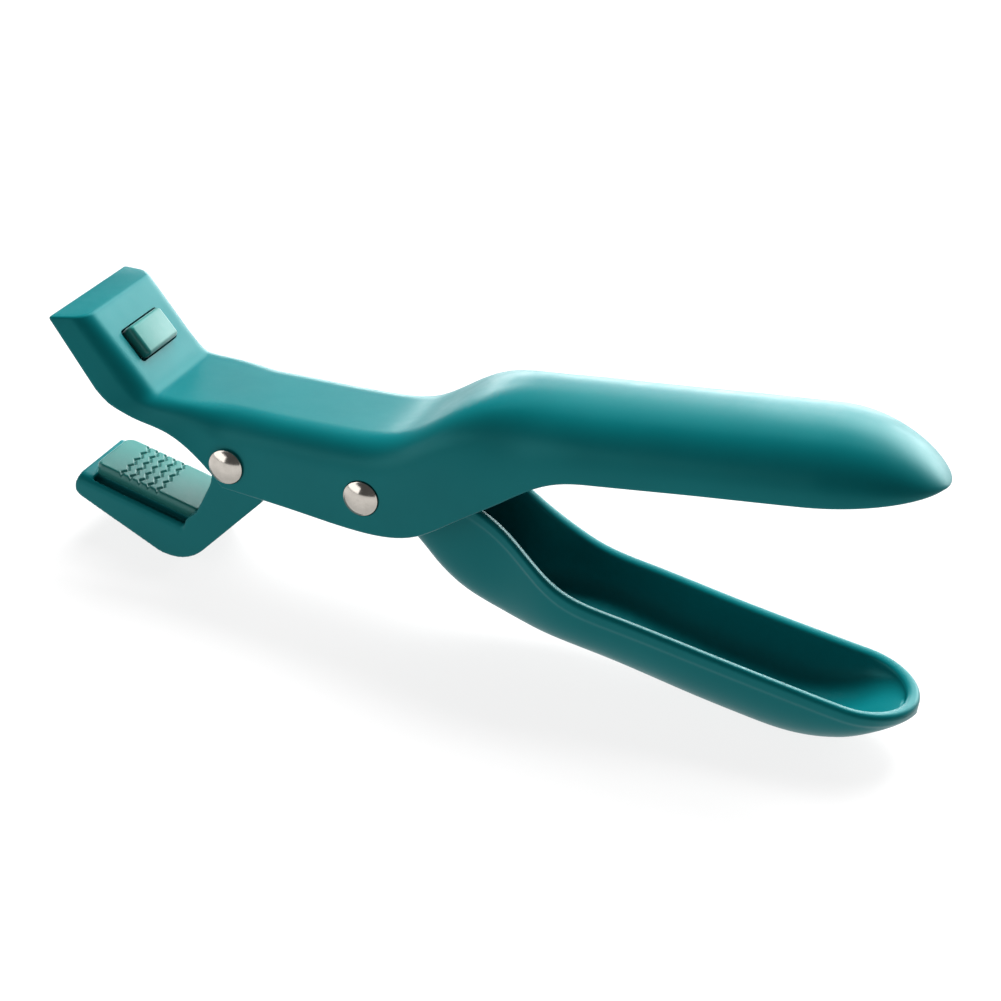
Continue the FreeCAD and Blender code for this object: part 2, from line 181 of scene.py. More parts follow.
def step(x, start, end):
    """0 before start, 1 after end, and smooth between."""
    t = min(1.0, max(0.0, (x - start) / (end - start)))
    return t * t * (3 - 2 * t)


def along(start, degrees, distance, rise=0.0):
    """Point at a distance along a slanted line and a rise square to it, in x and z."""
    a = math.radians(degrees)
    return (
        start[0] + distance * math.cos(a) - rise * math.sin(a),
        start[1] + distance * math.sin(a) + rise * math.cos(a),
    )


def slanted_box(start, degrees, near, far, low, high):
    """Corners of a box that lies on a slanted line, between two distances and two rises."""
    corners = ((near, low), (far, low), (far, high), (near, high))
    return [along(start, degrees, distance, rise) for distance, rise in corners]


def arc_points(centre, radius, start_deg, end_deg, count):
    turn = [start_deg + (end_deg - start_deg) * k / (count - 1) for k in range(count)]
    return [along(centre, degrees, radius) for degrees in turn]


# ---- meshes --------------------------------------------------------------------------------------

DISC_POINTS = 64
BEVEL_DEG = 35                 # edges sharper than this are bevelled
DOUBLE_DISTANCE = 0.004        # points closer than this are one point
SLIVER_LENGTH = 0.002          # edges shorter than this are dissolved


def make_object(name, points, faces):
    """Mesh object from points in millimetres, with doubled points merged and faces turned outwards."""
    mesh = bpy.data.meshes.new(name)
    mesh.from_pydata([(x * MM, y * MM, z * MM) for x, y, z in points], [], faces)
    tidy = bmesh.new()
    tidy.from_mesh(mesh)
    bmesh.ops.remove_doubles(tidy, verts=tidy.verts, dist=DOUBLE_DISTANCE * MM)
    bmesh.ops.dissolve_degenerate(tidy, edges=tidy.edges, dist=SLIVER_LENGTH * MM)
    bmesh.ops.recalc_face_normals(tidy, faces=tidy.faces)
    tidy.to_mesh(mesh)
    tidy.free()
    obj = bpy.data.objects.new(name, mesh)
    bpy.context.scene.collection.objects.link(obj)
    return obj


def smooth(obj, degrees=35):
    obj.data.shade_smooth()
    obj.data.set_sharp_from_angle(angle=math.radians(degrees))


def rings_object(name, rings, close_start=False, close_end=False):
    """Skin over rings of equally many points."""
    size = len(rings[0])
    points = [point for ring in rings for point in ring]
    faces = []
    for r in range(len(rings) - 1):
        for k in range(size):
            n = (k + 1) % size
            faces.append((r * size + k, r * size + n, (r + 1) * size + n, (r + 1) * size + k))
    if close_start:
        faces.append(tuple(range(size)))
    if close_end:
        faces.append(tuple(range((len(rings) - 1) * size, len(rings) * size)))
    return make_object(name, points, faces)


def prism(name, outline, y_low, y_high):
    """Solid with the given x, z outline between two planes across the tool."""
    rings = [[(x, y, z) for x, z in outline] for y in (y_low, y_high)]
    return rings_object(name, rings, True, True)


def disc(name, centre, radius, y_low, y_high):
    last_deg = 360 * (DISC_POINTS - 1) / DISC_POINTS
    return prism(name, arc_points(centre, radius, 0, last_deg, DISC_POINTS), y_low, y_high)


def bore(pivot):
    """Cutter that clears a rivet's barrel."""
    return disc("bore", pivot, BARREL_RADIUS + 0.05, -THROUGH, THROUGH)


def applied(obj):
    """Bakes the object's modifiers into its mesh."""
    bpy.context.view_layer.update()
    shaped = obj.evaluated_get(bpy.context.evaluated_depsgraph_get())
    mesh = bpy.data.meshes.new_from_object(shaped)
    obj.modifiers.clear()
    obj.data = mesh
    return obj


def combined(obj, other, operation):
    """obj with the other solid added or taken away."""
    change = obj.modifiers.new(operation, "BOOLEAN")
    change.operation = operation
    change.solver = "EXACT"
    change.object = other
    applied(obj)
    bpy.data.objects.remove(other)
    return obj


def without(obj, *others):
    for other in others:
        combined(obj, other, "DIFFERENCE")
    return obj


def joined(obj, *others):
    """One object that holds all the given solids."""
    whole = bmesh.new()
    whole.from_mesh(obj.data)
    for other in others:
        whole.from_mesh(other.data)
        bpy.data.objects.remove(other)
    whole.to_mesh(obj.data)
    whole.free()
    return obj


def bevelled(obj, width, segments=3):
    soften = obj.modifiers.new("edges", "BEVEL")
    soften.width = width * MM
    soften.segments = segments
    soften.limit_method = "ANGLE"
    soften.angle_limit = math.radians(BEVEL_DEG)
    soften.use_clamp_overlap = True
    return applied(obj)


def melted(obj, cell, rounds):
    """Solids grown together into one skin, with every edge and inside corner softly rounded."""
    skin = obj.modifiers.new("skin", "REMESH")
    skin.mode = "VOXEL"
    skin.voxel_size = cell * MM
    skin.use_smooth_shade = True
    relax = obj.modifiers.new("relax", "SMOOTH")
    relax.factor = 0.5
    relax.iterations = rounds
    return applied(obj)


# ---- materials -----------------------------------------------------------------------------------

NOISE_LOW = 0.3                # nearly all of a noise's values lie between these two
NOISE_HIGH = 0.7


def node(tree, kind, **inputs):
    made = tree.nodes.new(kind)
    for name, value in inputs.items():
        made.inputs[name].default_value = value
    return made


def noise(tree, place, scale, detail, roughness=0.5):
    made = node(tree, "ShaderNodeTexNoise", Scale=scale, Detail=detail, Roughness=roughness)
    tree.links.new(place.outputs["Object"], made.inputs["Vector"])
    return made.outputs["Fac"]


def spread(tree, value, low, high):
    """A noise's usual range carried to low..high."""
    made = tree.nodes.new("ShaderNodeMapRange")
    made.inputs["From Min"].default_value = NOISE_LOW
    made.inputs["From Max"].default_value = NOISE_HIGH
    made.inputs["To Min"].default_value = low
    made.inputs["To Max"].default_value = high
    tree.links.new(value, made.inputs["Value"])
    return made.outputs["Result"]


def two_tone(tree, value, dark, light):
    made = tree.nodes.new("ShaderNodeMix")
    made.data_type = "RGBA"
    made.inputs["A"].default_value = (*dark, 1)
    made.inputs["B"].default_value = (*light, 1)
    tree.links.new(value, made.inputs["Factor"])
    return made.outputs["Result"]


def bump(tree, height, distance, strength, under=None):
    made = node(tree, "ShaderNodeBump", Distance=distance, Strength=strength)
    tree.links.new(height, made.inputs["Height"])
    if under is not None:
        tree.links.new(under, made.inputs["Normal"])
    return made.outputs["Normal"]


def new_material(name):
    material = bpy.data.materials.new(name)
    material.use_nodes = True
    tree = material.node_tree
    place = tree.nodes.new("ShaderNodeTexCoord")
    return material, tree, place, tree.nodes["Principled BSDF"]


def moulded_plastic():
    """Satin dyed nylon: a fine spark-eroded grain, faint flow clouds and a few softer patches."""
    material, tree, place, shader = new_material("teal_plastic")
    clouds = noise(tree, place, 34, 3)
    grain = noise(tree, place, 5200, 2)
    patches = noise(tree, place, 160, 4, 0.6)
    colour = two_tone(tree, spread(tree, clouds, 0, 1), (0.0010, 0.092, 0.101), (0.0014, 0.108, 0.117))
    tree.links.new(colour, shader.inputs["Base Color"])
    tree.links.new(spread(tree, patches, 0.33, 0.41), shader.inputs["Roughness"])
    slow = bump(tree, patches, 0.00006, 0.12)
    tree.links.new(bump(tree, grain, 0.00002, 0.22, slow), shader.inputs["Normal"])
    shader.inputs["IOR"].default_value = 1.50
    shader.inputs["Specular IOR Level"].default_value = 0.38
    shader.inputs["Specular Tint"].default_value = (0.2, 1, 1, 1)
    return material


def silicone():
    """Soft matt silicone: slightly greener, with a powdery bloom."""
    material, tree, place, shader = new_material("teal_silicone")
    clouds = noise(tree, place, 90, 3)
    grain = noise(tree, place, 3600, 3)
    dust = noise(tree, place, 700, 5, 0.65)
    colour = two_tone(tree, spread(tree, clouds, 0, 1), (0.003, 0.112, 0.101), (0.004, 0.134, 0.120))
    tree.links.new(colour, shader.inputs["Base Color"])
    tree.links.new(spread(tree, dust, 0.34, 0.44), shader.inputs["Roughness"])
    slow = bump(tree, dust, 0.00005, 0.15)
    tree.links.new(bump(tree, grain, 0.00002, 0.25, slow), shader.inputs["Normal"])
    shader.inputs["IOR"].default_value = 1.43
    shader.inputs["Specular IOR Level"].default_value = 0.85
    shader.inputs["Specular Tint"].default_value = (0.75, 1, 0.97, 1)
    shader.inputs["Sheen Weight"].default_value = 0.3
    shader.inputs["Sheen Roughness"].default_value = 0.4
    return material


def nickel():
    """Bright nickel plate with a slight haze and very fine scratches."""
    material, tree, place, shader = new_material("nickel_plate")
    haze = noise(tree, place, 420, 4, 0.6)
    scratches = noise(tree, place, 2600, 2)
    colour = two_tone(tree, spread(tree, haze, 0, 1), (0.45, 0.42, 0.38), (0.52, 0.488, 0.445))
    tree.links.new(colour, shader.inputs["Base Color"])
    tree.links.new(spread(tree, haze, 0.10, 0.19), shader.inputs["Roughness"])
    tree.links.new(bump(tree, scratches, 0.00001, 0.10), shader.inputs["Normal"])
    shader.inputs["Metallic"].default_value = 1.0
    return material


def spring_steel():
    """Drawn wire with fine marks and a dry, slightly brown film of oil."""
    material, tree, place, shader = new_material("spring_wire")
    film = noise(tree, place, 300, 4, 0.6)
    streaks = noise(tree, place, 4200, 2)
    colour = two_tone(tree, spread(tree, film, 0, 1), (0.30, 0.28, 0.25), (0.42, 0.41, 0.39))
    tree.links.new(colour, shader.inputs["Base Color"])
    tree.links.new(spread(tree, film, 0.24, 0.40), shader.inputs["Roughness"])
    tree.links.new(bump(tree, streaks, 0.00001, 0.2), shader.inputs["Normal"])
    shader.inputs["Metallic"].default_value = 1.0
    return material


PLASTIC = moulded_plastic()
SILICONE = silicone()
NICKEL = nickel()
STEEL = spring_steel()


def finished(obj, material, slot, body, *nodes):
    """Gives a piece its finish, the body that it rides on and the CAD nodes that it stands for."""
    obj.data.materials.clear()
    obj.data.materials.append(material)
    if body:
        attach(obj, body)
    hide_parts(*nodes)
    return obj


# ---- open shells: the upper body and the trough --------------------------------------------------

RIM_STEPS = 18
SIDE_STEPS = 12
ARCH_STEPS = 56
INSIDE_STEPS = 40
STATION_PITCH = 1.6            # between rings
INNER_STRETCH = 1.7            # a rim's inner rounding is this much wider than it is deep
SLENDER = 0.0005               # half width left at the very tip


def superellipse(angle, half_width, height, squareness):
    c, s = math.cos(angle), math.sin(angle)
    reach = (abs(c) ** squareness + abs(s) ** squareness) ** (-1 / squareness)
    return half_width * reach * c, height * reach * s


def round_cornered(angle, half_width, height, radius):
    """Where a ray from the middle of the base leaves a box whose two upper corners are rounded."""
    y, h = half_width * math.cos(angle), height * math.sin(angle)
    side = abs(half_width / y) if abs(y) > 1e-9 else 1e9
    if side * h <= height - radius:
        return side * y, side * h
    top = height / h
    if top * abs(y) <= half_width - radius:
        return top * y, height
    cy, ch = half_width - radius, height - radius
    a = y * y + h * h
    b = abs(y) * cy + h * ch
    reach = (b + math.sqrt(max(0.0, b * b - a * (cy * cy + ch * ch - radius * radius)))) / a
    return reach * y, reach * h


def closing_in(x, start, tip):
    """How far a rounded end has closed in at x: 1 before it starts, 0 at its tip."""
    reach = max(0.0, x - start) / (tip - start)
    return max(0.0, 1 - reach**2)


def inset(x, y, half_width, start, tip):
    """Distance in from a plan outline that is straight up to start and half an ellipse after it."""
    u = max(0.0, x - start) / (tip - start)
    v = abs(y) / half_width
    steepness = 2 * math.hypot(u / (tip - start), v / half_width)
    return (1 - u * u - v * v) / max(steepness, 1e-6)


def rim_drop(distance, lip):
    """How far a rim's surface falls away at a distance in from its rounded edge."""
    reach = min(lip, max(0.0, lip - distance))
    return lip - math.sqrt(max(0.0, lip * lip - reach * reach))


def shell_ring(
    base, peak, widths, end, hollow, squareness, box=(0.0, 1.0, 0.0), lip=LIP, bead=0.0
):
    """Section of an open shell: over the outside, across one rim, back over the inside, and the other.

    base and peak are x, z points under and on its ridge, hollow is the height of its inside. widths are
    the outer and inner half widths before the end closes in. end is where it starts to close in, the
    inner tip and the outer tip. box is 1 for a round-cornered box or 0 for a superellipse, the radius of
    the box's corners and how much narrower it is at the top. lip is the radius of its rims, and bead is
    how far the rims stand proud of the outside.
    """
    x = base[0]
    start, inner_tip, tip = end
    height = math.dist(base, peak)
    rise = ((peak[0] - base[0]) / max(height, 1e-6), (peak[1] - base[1]) / max(height, 1e-6))
    half_width = max(widths[0] * closing_in(x, start, tip) ** 0.5, SLENDER)
    inner_width = widths[1] * closing_in(x, start, inner_tip) ** 0.5
    lip = min(lip, 0.4 * height)
    boxy, corner, taper = box
    inner_lip = min(lip, 0.5 * hollow)

    def place(y, h):
        return (base[0] + rise[0] * h, y, base[1] + rise[1] * h)

    def outline(angle):
        y, h = superellipse(angle, half_width, height, squareness)
        if boxy > 0:
            radius = min(corner, 0.45 * height, 0.45 * half_width)
            by, bh = round_cornered(angle, half_width, height, radius)
            by *= 1 - taper * bh / height
            y, h = y + (by - y) * boxy, h + (bh - h) * boxy
        proud = bead * (1 - step(h, BEAD_HEIGHT - 0.8, BEAD_HEIGHT + 0.5)) * min(1.0, half_width / 6)
        return y + math.copysign(proud, y), h

    def rim_height(y):
        outer = rim_drop(inset(x, y, widths[0] + bead, start, tip), lip)
        inner = rim_drop(-inset(x, y, widths[1], start, inner_tip) / INNER_STRETCH, inner_lip)
        return max(outer, inner)

    first = math.atan2(lip, height)
    rim = math.atan2(min(BEAD_HEIGHT + 1.0, 0.5 * height), height)
    low = [first + (rim - first) * k / SIDE_STEPS for k in range(SIDE_STEPS)]
    arch = [rim + (math.pi - 2 * rim) * k / ARCH_STEPS for k in range(ARCH_STEPS + 1)]
    angles = low + arch + [math.pi - a for a in reversed(low)]
    ring = [place(*outline(a)) for a in angles]
    edge = outline(first)[0]
    across = [(1 - math.cos(math.pi * k / RIM_STEPS)) / 2 for k in range(1, RIM_STEPS)]
    rim_line = [edge + (inner_width - edge) * t for t in across]
    ring += [place(-y, rim_height(y)) for y in rim_line]
    low_in = math.atan2(inner_lip, hollow) if hollow > 0 else 0.0
    for k in range(INSIDE_STEPS + 1):
        a = math.pi - low_in - (math.pi - 2 * low_in) * k / INSIDE_STEPS
        if x < inner_tip:
            ring.append(place(*superellipse(a, inner_width, hollow, squareness)))
        else:
            ring.append(place(0, rim_height(0)))
    ring += [place(y, rim_height(y)) for y in reversed(rim_line)]
    return ring


def stations(stops, end):
    """x of the rings: even steps between the stops, then ever closer ones up to both tips of the end."""
    start, inner_tip, tip = end
    found = []
    for x0, x1 in zip(stops, stops[1:] + [start]):
        count = max(1, round((x1 - x0) / STATION_PITCH))
        found += [x0 + (x1 - x0) * k / count for k in range(count)]
    found += [start + (inner_tip - start) * math.sin(math.pi / 2 * k / 30) for k in range(30)]
    found += [inner_tip + (tip - inner_tip) * (1 - math.cos(math.pi * k / 20)) / 2 for k in range(21)]
    return found


# ---- upper body ----------------------------------------------------------------------------------

shell_edge = curve_through([
    (-84, 26.5), (-58, 26.3), (-40, 25.9), (-25, 25.4), (-17.5, 26.0), (-10, 28.6), (-2, 34.7),
    (8, 42.7), (15, 48.3), (20.5, 51.2), (28, 53.1), (50, 57.4), (77.5, 62.6), (100, 67.5),
])
shell_top = curve_through([
    (-84, 42.3), (-73, 43.0), (-56, 44.4), (-40, 45.6), (-30, 46.6), (-23, 47.8), (-17, 50.4),
    (-11, 55.1), (-5, 59.8), (2, 63.3), (12, 65.7), (28, 68.5), (45, 71.5), (60, 74.2),
    (72.5, 76.3), (100, 81.1),
])
shell_squareness = curve_through([
    (-84, 6.0), (-40, 6.0), (-20, 5.0), (0, 3.2), (15, 2.6), (40, 2.4), (72, 2.3), (100, 2.2),
])
throat_arch = curve_through([
    (-92.2, 42.2), (-89, 39.7), (-85.9, 38.5), (-82, 37.5), (-75.4, 36.6), (-71.8, 35.6),
    (-68, 33.7), (-64.3, 31.2), (-60.4, 28.0),
])
THROAT_START = -92.2
THROAT_END = -58.6
NECK_START = -84.0             # the neck's top and squareness hold from here towards the jaw
JAW_SOLID_END = -75.5          # the jaw is solid up to here
NECK_HOLLOW_START = -73.0      # and the neck is fully hollow from here
NOSE_FULLNESS = 0.88           # how bluntly the upper handle's top comes down: less is blunter
CREASE_FILLET = 1.0
END_ROUND = 0.7                # rounding of the jaw's end face
END_RINGS = 7
# In the jaw a ring leans towards the handles. This is the x of its peak when its base is at x.
peak_of = straight_through([
    (-105, -96.2), (-92.2, -84.6), (-89, -81.6), (-85.9, -79.4), (-82, -77.0), (-75.4, -73.0),
    (-68, -67.0), (-60.4, -60.2), (-57, -57.0), (100, 100.0),
])
neck_corner = straight_through([(-105, 4.5), (-85, 5.0), (-60, 7.0), (-20, 8.0)])
neck_taper = curve_through([
    (-105, 0.11), (-94, 0.13), (-82, 0.14), (-60, 0.09), (-35, 0.035), (-15, 0.0), (20, 0.0),
    (100, 0.0),
])


def lower_edge(x):
    if x < THROAT_START:
        share = (x - GRIP_START[0]) / (THROAT_START - GRIP_START[0])
        return GRIP_START[1] + (throat_arch(THROAT_START) - GRIP_START[1]) * share
    if x < THROAT_END:
        return throat_arch(x)
    return shell_edge(x)


def upper_edge(x):
    """Back of the jaw and top of the neck, with a small hollow fillet at the crease."""
    slope = (CREASE[1] - RIDGE[1]) / (CREASE[0] - RIDGE[0])
    back = RIDGE[1] + slope * (x - RIDGE[0])
    top = shell_top(max(x, NECK_START))
    return (back + top + math.hypot(back - top, CREASE_FILLET)) / 2


def upper_body_ring(x, shrink=0.0):
    """Ring of the upper body whose base is at x. A shrunken ring rounds off the jaw's end face."""
    base = (x, lower_edge(x))
    peak_x = peak_of(x)
    height = (upper_edge(peak_x) - base[1]) * closing_in(x, NOSE_START, NOSE_TIP) ** NOSE_FULLNESS
    hollow = max(height - SHELL_WALL, LEAST_HOLLOW * LIP) * step(x, JAW_SOLID_END, NECK_HOLLOW_START)
    peak = (peak_x, base[1] + max(height, 0.01))
    if shrink:
        share = shrink / math.dist(base, peak)
        slant = ((peak[0] - base[0]) * share, (peak[1] - base[1]) * share)
        base = (base[0] + slant[0], base[1] + slant[1])
        peak = (peak[0] - slant[0], peak[1] - slant[1])
    return shell_ring(
        base, peak, (SHELL_HALF_WIDTH - shrink, SHELL_HALF_WIDTH - SHELL_WALL), NOSE_END, hollow,
        shell_squareness(max(NECK_START, x)), (1 - step(x, -20, 12), neck_corner(x), neck_taper(x)),
    )


def upper_body():
    quarter = [math.pi / 2 * k / (END_RINGS - 1) for k in range(END_RINGS)]
    rings = [
        upper_body_ring(GRIP_START[0] + 0.5 * (1 - math.cos(a)), END_ROUND * (1 - math.sin(a)))
        for a in quarter
    ]
    xs = stations([GRIP_START[0] + 1.3, THROAT_START, -82, THROAT_END, -40, -20, 20, 60], NOSE_END)
    rings += [upper_body_ring(x) for x in xs]
    body = rings_object("upper_body_shell", rings, close_start=True)
    # The jaw's back has a slot for the pad's nub, a little longer than the nub.
    slot = prism("slot", slanted_box(RIDGE, BACK_DEG, 7.1, 16.0, -3, 3), -9.0, 8.0)
    # The rivets' heads lie in shallow recesses that fit them loosely.
    recess_floor, recess_top = 17.4, 25.0
    recesses = [
        disc(
            "recess", (pivot[0] + 0.12, pivot[1] + 0.1), HEAD_RADIUS + 0.2,
            *sorted((side * recess_floor, side * recess_top)),
        )
        for pivot in (FRONT_PIVOT, REAR_PIVOT) for side in (-1, 1)
    ]
    without(body, bevelled(slot, 1.0), *recesses)
    smooth(body, 30)
    # Inside are a narrow chin behind the gripping face, and bosses that keep the levers in the middle.
    chin = prism("chin", [
        along(GRIP_START, GRIP_DEG, 17.0), along(GRIP_START, GRIP_DEG, 30.0),
        along(GRIP_START, GRIP_DEG, 30.0, 3.5), (-76.0, 39.0), (-84.0, 43.0),
    ], -CHIN_HALF_WIDTH, CHIN_HALF_WIDTH)
    boss_face = LEVER_HALF_WIDTH + 0.15
    boss_foot = SHELL_HALF_WIDTH - 1.5
    bosses = [
        disc("boss", pivot, BOSS_RADIUS, *sorted((side * boss_face, side * boss_foot)))
        for pivot in (FRONT_PIVOT, REAR_PIVOT) for side in (-1, 1)
    ]
    extras = [bevelled(extra, 0.5) for extra in (chin, *bosses)]
    for extra in extras:
        smooth(extra)
    return finished(joined(body, *extras), PLASTIC, "handle_plastic", "root", "upper_body")


# ---- lower handle --------------------------------------------------------------------------------

trough_floor = curve_through([
    (-22, 26.6), (-17, 24.6), (-12.5, 21.5), (-8, 17.2), (-3, 13.4), (4, 10.2), (12, 8.2),
    (25, 6.6), (40, 4.6), (55, 2.3), (68, 0.8), (78, 0.2), (86, 1.4), (92, 3.7), (98, 7.0),
    (105, 10.6),
])
trough_rim = curve_through([
    (-22, 41.4), (-12, 39.2), (-2, 36.6), (5, 33.6), (11, 29.8), (17, 25.9), (23, 22.8),
    (29, 21.2), (37, 20.3), (57, 18.1), (77, 16.1), (92, 14.8), (105, 14.0),
])
trough_half_width = curve_through([
    (-22, 11.4), (2, 11.4), (9, 11.6), (14, 12.6), (19, 13.8), (25, 14.5), (32, 14.6),
    (60, 14.4), (88, 14.6), (105, 14.6),
])
trough_squareness = curve_through([(-22, 5.0), (0, 4.5), (25, 3.2), (60, 2.8), (105, 2.5)])
TROUGH_START = -22.0
TROUGH_SOLID_END = -15.5       # the trough's root is solid up to here
TROUGH_HOLLOW_START = -12.5    # and it is fully hollow from here


def trough_ring(x):
    rim = trough_rim(x)
    floor = min(trough_floor(x), rim - 0.01)
    height = rim - floor
    hollow = max(height - LEVER_WALL, LEAST_HOLLOW * TROUGH_LIP)
    hollow *= step(x, TROUGH_SOLID_END, TROUGH_HOLLOW_START)
    half_width = trough_half_width(x)
    return shell_ring(
        (x, rim), (x, floor), (half_width - BEAD, half_width - LEVER_WALL), TROUGH_END, hollow,
        trough_squareness(x), lip=TROUGH_LIP, bead=BEAD * step(x, -8, 4),
    )


def gear_sector(name, centre, teeth, tooth_degrees, fan_degrees):
    """Plate with involute teeth at the given angles, on a fan between two angles."""
    pressure = math.radians(PRESSURE_DEG)
    pitch_radius = GEAR_MODULE * teeth / 2
    root_radius = pitch_radius - 1.25 * GEAR_MODULE
    base_radius = pitch_radius * math.cos(pressure)
    tip_radius = pitch_radius + GEAR_MODULE

    def half_angle(radius):
        """Half of a tooth's thickness at a radius, in degrees."""
        local = math.acos(min(1.0, base_radius / radius))
        thickness = math.pi / (2 * teeth) - BACKLASH / (2 * pitch_radius)
        return math.degrees(thickness + math.tan(pressure) - pressure - math.tan(local) + local)

    first = max(base_radius, root_radius)
    radii = [first + (tip_radius - first) * k / 5 for k in range(6)]
    flank = [(root_radius, half_angle(first))] + [(r, half_angle(r)) for r in radii]
    low, high = sorted(fan_degrees)
    outline = [centre, along(centre, low, root_radius)]
    for degrees in sorted(tooth_degrees):
        outline += [along(centre, degrees - spread, radius) for radius, spread in flank]
        outline += [along(centre, degrees + spread, radius) for radius, spread in reversed(flank)]
    outline.append(along(centre, high, root_radius))
    return prism(name, outline, -GEAR_HALF_WIDTH, GEAR_HALF_WIDTH)


def lower_handle():
    stops = [TROUGH_START, TROUGH_SOLID_END, TROUGH_HOLLOW_START, 0, 30, 60]
    xs = stations(stops, TROUGH_END)
    trough = rings_object("lower_handle_trough", [trough_ring(x) for x in xs], close_start=True)
    smooth(trough, 40)
    tooth_pitch = 360 / HANDLE_TEETH
    toward_jaw = 180 + PIVOT_LINE_DEG
    teeth = [toward_jaw - k * tooth_pitch for k in range(3)]
    nose = gear_sector("nose", REAR_PIVOT, HANDLE_TEETH, teeth, (toward_jaw + 6.5, teeth[-1] - 6.5))
    hub = disc("hub", REAR_PIVOT, 8.0, -LEVER_HALF_WIDTH, LEVER_HALF_WIDTH)
    pocket_sides = (COIL_LOW - COIL_CLEARANCE, COIL_HIGH + COIL_CLEARANCE)
    pocket = disc("pocket", REAR_PIVOT, 5.2, *pocket_sides)
    channel = prism("channel", slanted_box(REAR_PIVOT, 0, 0, 14, -3.95, 11.4), *pocket_sides)
    without(hub, pocket, channel, bore(REAR_PIVOT))
    for part in (nose, hub):
        bevelled(part, 0.3, 2)
        smooth(part)
    return finished(
        joined(trough, nose, hub), PLASTIC, "handle_plastic", "squeeze_lever", "lower_handle"
    )


# ---- lower jaw -----------------------------------------------------------------------------------

JAW_CORNER_RADIUS = 10.7
JAW_CORNER_CENTRE = (-73.9, JAW_CORNER_RADIUS)
SEAT_ROUND = 2.4               # rounding of the seat's two long upper edges


def along_seat(name, section, side, near, far):
    """Cutter along one side of the seat, with a section of distances across and heights above it."""
    rings = []
    for distance in (near, far):
        places = [(along(SEAT_START, SEAT_DEG, distance, rise), side * y) for y, rise in section]
        rings.append([(x, y, z) for (x, z), y in places])
    return rings_object(name, rings, True, True)


def seat_cutter(side):
    """Takes a rounded corner off one long edge of the seat."""
    y_start = LEVER_HALF_WIDTH - SEAT_ROUND
    section = [
        (y_start + SEAT_ROUND * math.sin(a), SEAT_ROUND * math.cos(a) - SEAT_ROUND)
        for a in (math.pi / 2 * k / 10 for k in range(11))
    ]
    section += [(LEVER_HALF_WIDTH + 1, -SEAT_ROUND), (LEVER_HALF_WIDTH + 1, 1.0), (y_start, 1.0)]
    return along_seat("seat_cutter", section, side, -3.0, 29.2)


def seat_groove(side):
    """Runs along the foot of the pad on one long side of the seat."""
    section = [(7.7, -1.9), (10.0, -1.7), (10.3, 1.0), (7.7, 1.0)]
    return along_seat("seat_groove", section, side, 3.4, 29.0)


def lower_jaw():
    base_end = along(SEAT_START, SEAT_DEG, 28.4)
    outline = (
        [SEAT_START, (-100.1, 12.4)]
        + arc_points((-97.6, 11.4), 2.6, 176, 246, 12)
        + arc_points(JAW_CORNER_CENTRE, JAW_CORNER_RADIUS, 246, 319, 28)
        + [(-51.4, 21.4), (-50.8, 25.5), (-52.5, 31.0), (-53.5, 36.8), (-57.5, 38.3)]
        + [(-62.0, 37.0), (-64.4, 33.0), (-64.2, 27.0), (-64.7, 22.4), (-67.8, 13.9), base_end]
    )
    hollow = [
        along(SEAT_START, SEAT_DEG, 2.5, -3.0), along(SEAT_START, SEAT_DEG, 29.5, -3.0),
        (-64.6, 14.5), (-61.6, 22.6), (-60.5, 24.2), (-55.0, 24.2), (-40.0, 18.0), (-60.0, -12.0),
        (-110.0, -12.0), (-98.0, 4.0),
    ]
    jaw = prism("lower_jaw_arm", outline, -LEVER_HALF_WIDTH, LEVER_HALF_WIDTH)
    cheek_gap = LEVER_HALF_WIDTH - CHEEK_THICKNESS
    without(jaw, prism("hollow", hollow, -cheek_gap, cheek_gap))
    for side in (-1, 1):
        without(jaw, seat_cutter(side), seat_groove(side))
    hub = disc("hub", FRONT_PIVOT, 6.4, -LEVER_HALF_WIDTH, LEVER_HALF_WIDTH)
    tooth_pitch = 360 / JAW_TEETH
    teeth = [PIVOT_LINE_DEG + (k - 0.5) * tooth_pitch for k in range(4)]
    tail = gear_sector("tail", FRONT_PIVOT, JAW_TEETH, teeth, (teeth[0] - 12.0, teeth[-1] + 9.0))
    combined(jaw, hub, "UNION")
    combined(jaw, tail, "UNION")
    without(jaw, bore(FRONT_PIVOT))
    melted(jaw, cell=0.28, rounds=9)
    smooth(jaw, 80)
    return finished(jaw, PLASTIC, "handle_plastic", "moving_jaw", "lower_jaw")


# ---- silicone pads -------------------------------------------------------------------------------

PAD_ROUND = 0.7                # rounding of the gripping face's edge
PAD_COLUMNS = 200
PAD_ROWS = 104
GROOVE_COUNT = 5
GROOVE_START = -8.0            # from the pad's middle
GROOVE_PITCH = 2.45
GROOVE_DEPTH = 0.55
ZIGZAG_WIDTH = 3.5             # of one zig and its zag
ZIGZAG_REACH = 0.9
GROOVE_LEAN = 0.04             # the grooves lie very slightly askew


def groove_depth(s, y):
    """Grooves run across the pad in short zigzags and leave sharp-edged ribs between them."""
    wave = abs((y / ZIGZAG_WIDTH) % 1 * 2 - 1) * ZIGZAG_REACH
    place = (s + wave - GROOVE_START + GROOVE_LEAN * y) / GROOVE_PITCH
    if not 0 <= place < GROOVE_COUNT:
        return 0.0
    return GROOVE_DEPTH * (1 - step(abs(place % 1 - 0.5), 0.03, 0.21))


